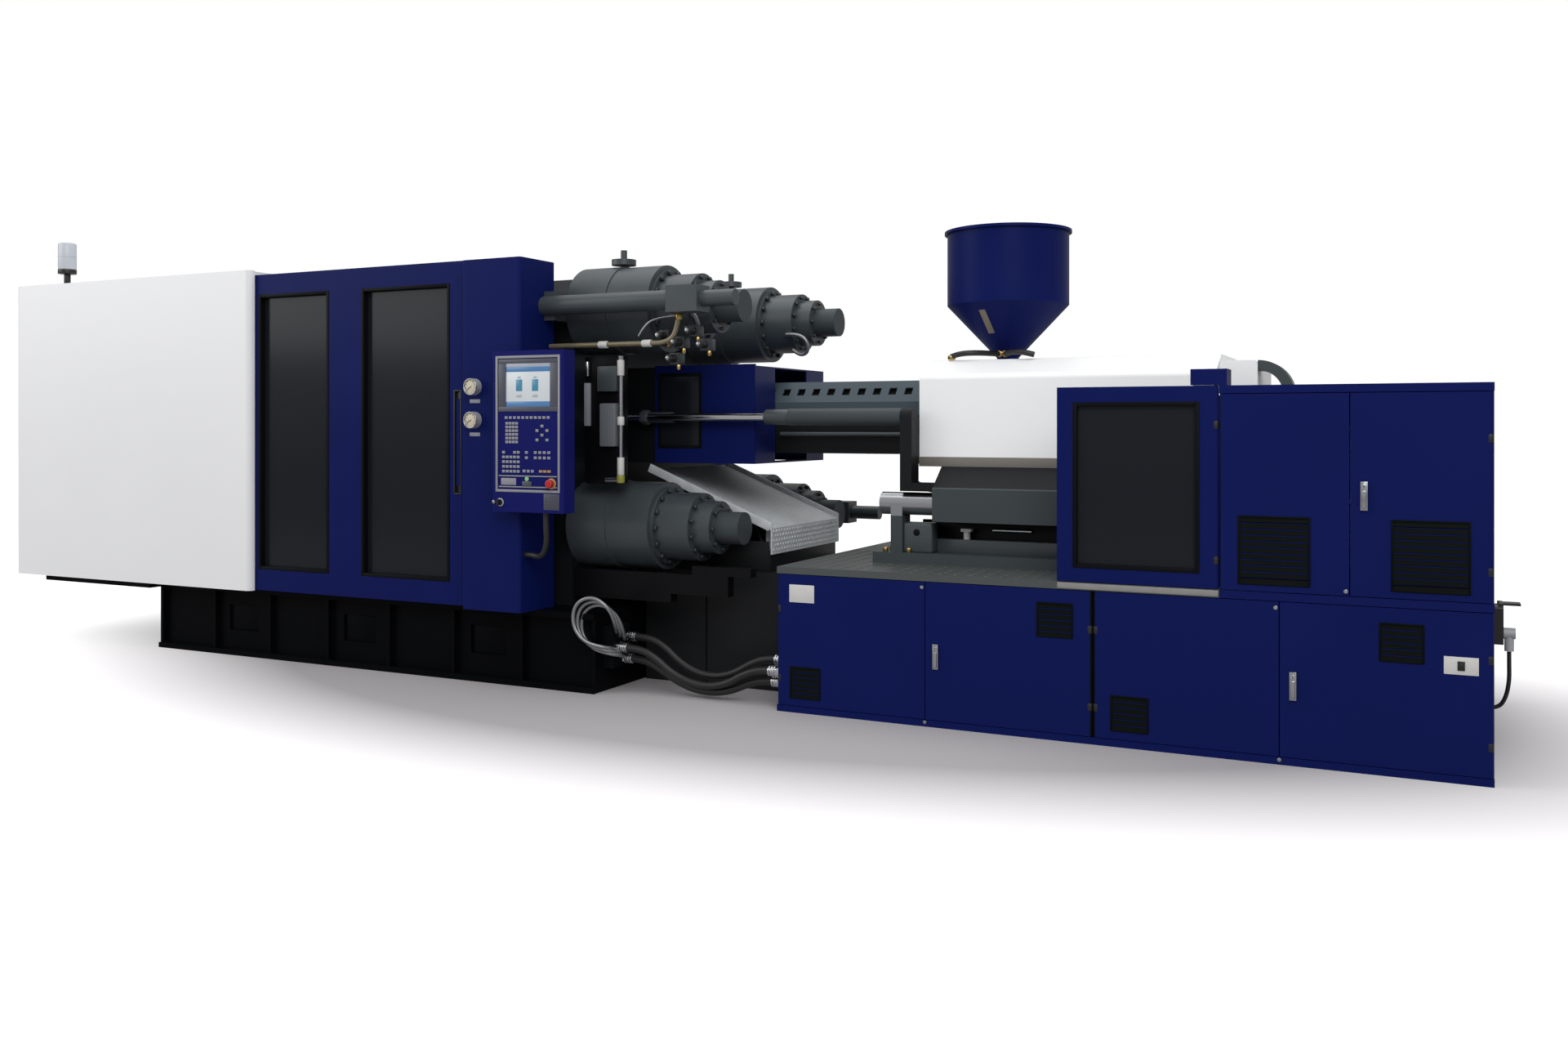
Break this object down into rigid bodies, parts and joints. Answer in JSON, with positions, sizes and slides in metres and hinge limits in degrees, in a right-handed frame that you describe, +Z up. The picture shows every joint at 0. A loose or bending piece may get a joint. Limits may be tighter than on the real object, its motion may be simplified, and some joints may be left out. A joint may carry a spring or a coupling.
{
  "type": "injection moulding machine",
  "caption": "Horizontal two-platen injection moulding machine with sliding guard gates, hinged panels, tie-bar clamp, lock nuts and a hopper-fed screw unit on guide rods",
  "frame": {"origin": "on the floor under the clamp centreline, at the middle of the machine's length, on the foot of the bed's end beam", "axes": "+X from the clamp end to the injection end, +Y away from the operator, +Z up"},
  "size_m": [8.451, 2.389, 2.52],
  "materials": {
    "navy_paint": "satin",
    "bed_paint": "satin",
    "white_paint": "satin",
    "casting_paint": "painted",
    "bright_steel": "machined",
    "chrome_rod": "polished",
    "galvanised": "matt",
    "tread_plate": "matt",
    "dark_window": "tinted",
    "black_rubber": "matt",
    "black_plastic": "matt",
    "red_plastic": "gloss",
    "grey_plastic": "matt",
    "motor_grey": "satin"
  },
  "bodies": {
    "frame": {"base_carcass": "navy_paint", "bed_frame": "bed_paint", "clamp_cylinders": "casting_paint", "cover_panels": "white_paint", "drip_tray": "bed_paint", "electrical_backplate": "galvanised", "electrical_cabinet": "navy_paint", "end_cable": "black_rubber", "guard_frame": "navy_paint", "guide_rods": "bright_steel", "hose_fittings": "bright_steel", "hose_lower": "black_rubber", "hose_middle": "black_rubber", "hose_upper": "black_rubber", "link_housing": "bed_paint", "nozzle_guard": "navy_paint", "oil_tank": "navy_paint", "panel_conduit": "black_rubber", "power_plug": "black_plastic", "power_socket": "grey_plastic", "pressure_gauges": "grey_plastic", "pump_motor": "motor_grey", "purge_chute": "galvanised", "push_rods": "chrome_rod", "signal_lamp": "grey_plastic", "stationary_platen": "casting_paint", "top_plate": "tread_plate", "traverse_cylinders": "casting_paint"},
    "tie_bars": {"tie_bars": "bright_steel"},
    "moving_platen": {"moving_platen": "casting_paint", "traverse_rods": "chrome_rod"},
    "lock_nuts_near": {"lock_nuts_near": "bright_steel"},
    "lock_nuts_far": {"lock_nuts_far": "bright_steel"},
    "ejector": {"ejector_plate": "bright_steel"},
    "gate_front": {"gate_front": "navy_paint", "gate_windows_front": "dark_window"},
    "gate_rear": {"gate_rear": "navy_paint", "gate_windows_rear": "dark_window"},
    "control_panel": {"panel_housing": "navy_paint"},
    "stop_button": {"stop_button": "red_plastic"},
    "selector_knob": {"selector_knob": "black_plastic"},
    "purge_door": {"purge_door": "navy_paint"},
    "door_1": {"door_1": "navy_paint"},
    "door_2": {"door_2": "navy_paint"},
    "door_3": {"door_3": "navy_paint"},
    "door_4": {"door_4": "navy_paint"},
    "door_5": {"door_5": "navy_paint"},
    "door_6": {"door_6": "navy_paint"},
    "window_guard": {"window_guard": "navy_paint", "window_guard_pane": "dark_window"},
    "carriage": {"carriage": "casting_paint", "barrel": "bright_steel", "heater_cover": "casting_paint", "hood": "white_paint", "hopper": "navy_paint", "push_cylinders": "casting_paint", "cable_chain": "black_plastic"},
    "injection_drive": {"injection_drive": "casting_paint"},
    "screw": {"screw": "bright_steel"},
    "socket_lid": {"socket_lid": "black_plastic"}
  },
  "joints": [
    {"name": "clamp_stroke", "type": "slide", "parent": "frame", "child": "tie_bars", "axis": [1, 0, 0], "range_m": [0, 0.03]},
    {"name": "mould_travel", "type": "slide", "parent": "frame", "child": "moving_platen", "axis": [1, 0, 0], "range_m": [0, 0.84]},
    {"name": "near_nut_close", "type": "slide", "parent": "moving_platen", "child": "lock_nuts_near", "axis": [0, 1, 0], "range_m": [0, 0.045]},
    {"name": "far_nut_close", "type": "slide", "parent": "moving_platen", "child": "lock_nuts_far", "axis": [0, -1, 0], "range_m": [0, 0.045]},
    {"name": "ejector_travel", "type": "slide", "parent": "moving_platen", "child": "ejector", "axis": [1, 0, 0], "range_m": [0, 0.2]},
    {"name": "front_gate_slide", "type": "slide", "parent": "frame", "child": "gate_front", "axis": [-1, 0, 0], "range_m": [0, 1.34]},
    {"name": "rear_gate_slide", "type": "slide", "parent": "frame", "child": "gate_rear", "axis": [-1, 0, 0], "range_m": [0, 1.34]},
    {"name": "panel_swing", "type": "hinge", "parent": "frame", "child": "control_panel", "pos_m": [-0.294, -1.151, 1.318], "axis": [0, 0, -1], "range_deg": [0, 60]},
    {"name": "stop_press", "type": "slide", "parent": "control_panel", "child": "stop_button", "axis": [0, 1, 0], "range_m": [0, 0.005], "stiffness_N_per_m": 2000},
    {"name": "selector_turn", "type": "hinge", "parent": "control_panel", "child": "selector_knob", "pos_m": [-0.225, -1.24, 0.965], "axis": [0, 1, 0], "range_deg": [-45, 45]},
    {"name": "purge_door_slide", "type": "slide", "parent": "frame", "child": "purge_door", "axis": [1, 0, 0], "range_m": [0, 0.3]},
    {"name": "door_1_swing", "type": "hinge", "parent": "frame", "child": "door_1", "pos_m": [1.1795, -0.9175, 0.34], "axis": [0, 0, -1], "range_deg": [0, 110]},
    {"name": "door_2_swing", "type": "hinge", "parent": "frame", "child": "door_2", "pos_m": [2.6375, -0.9175, 0.34], "axis": [0, 0, 1], "range_deg": [0, 85]},
    {"name": "door_3_swing", "type": "hinge", "parent": "frame", "child": "door_3", "pos_m": [2.6665, -0.9175, 0.34], "axis": [0, 0, -1], "range_deg": [0, 85]},
    {"name": "door_4_swing", "type": "hinge", "parent": "frame", "child": "door_4", "pos_m": [4.1295, -0.9175, 0.34], "axis": [0, 0, 1], "range_deg": [0, 110]},
    {"name": "door_5_swing", "type": "hinge", "parent": "frame", "child": "door_5", "pos_m": [3.1775, -0.9175, 1.08], "axis": [0, 0, -1], "range_deg": [0, 85]},
    {"name": "door_6_swing", "type": "hinge", "parent": "frame", "child": "door_6", "pos_m": [4.1295, -0.9175, 1.08], "axis": [0, 0, 1], "range_deg": [0, 110]},
    {"name": "window_guard_swing", "type": "hinge", "parent": "frame", "child": "window_guard", "pos_m": [3.1485, -0.9175, 1.1], "axis": [0, 0, 1], "range_deg": [0, 85]},
    {"name": "carriage_travel", "type": "slide", "parent": "frame", "child": "carriage", "axis": [1, 0, 0], "range_m": [0, 0.45]},
    {"name": "injection_stroke", "type": "slide", "parent": "carriage", "child": "injection_drive", "axis": [1, 0, 0], "range_m": [0, 0.3]},
    {"name": "screw_turn", "type": "hinge", "parent": "injection_drive", "child": "screw", "pos_m": [2, 0, 1.39], "axis": [1, 0, 0], "continuous": true},
    {"name": "socket_lid_lift", "type": "hinge", "parent": "frame", "child": "socket_lid", "pos_m": [4.181, -0.55, 0.641], "axis": [0, -1, 0], "range_deg": [0, 60]}
  ],
  "couplings": [
    {"joint": "far_nut_close", "follows": "near_nut_close", "ratio": 1}
  ]
}
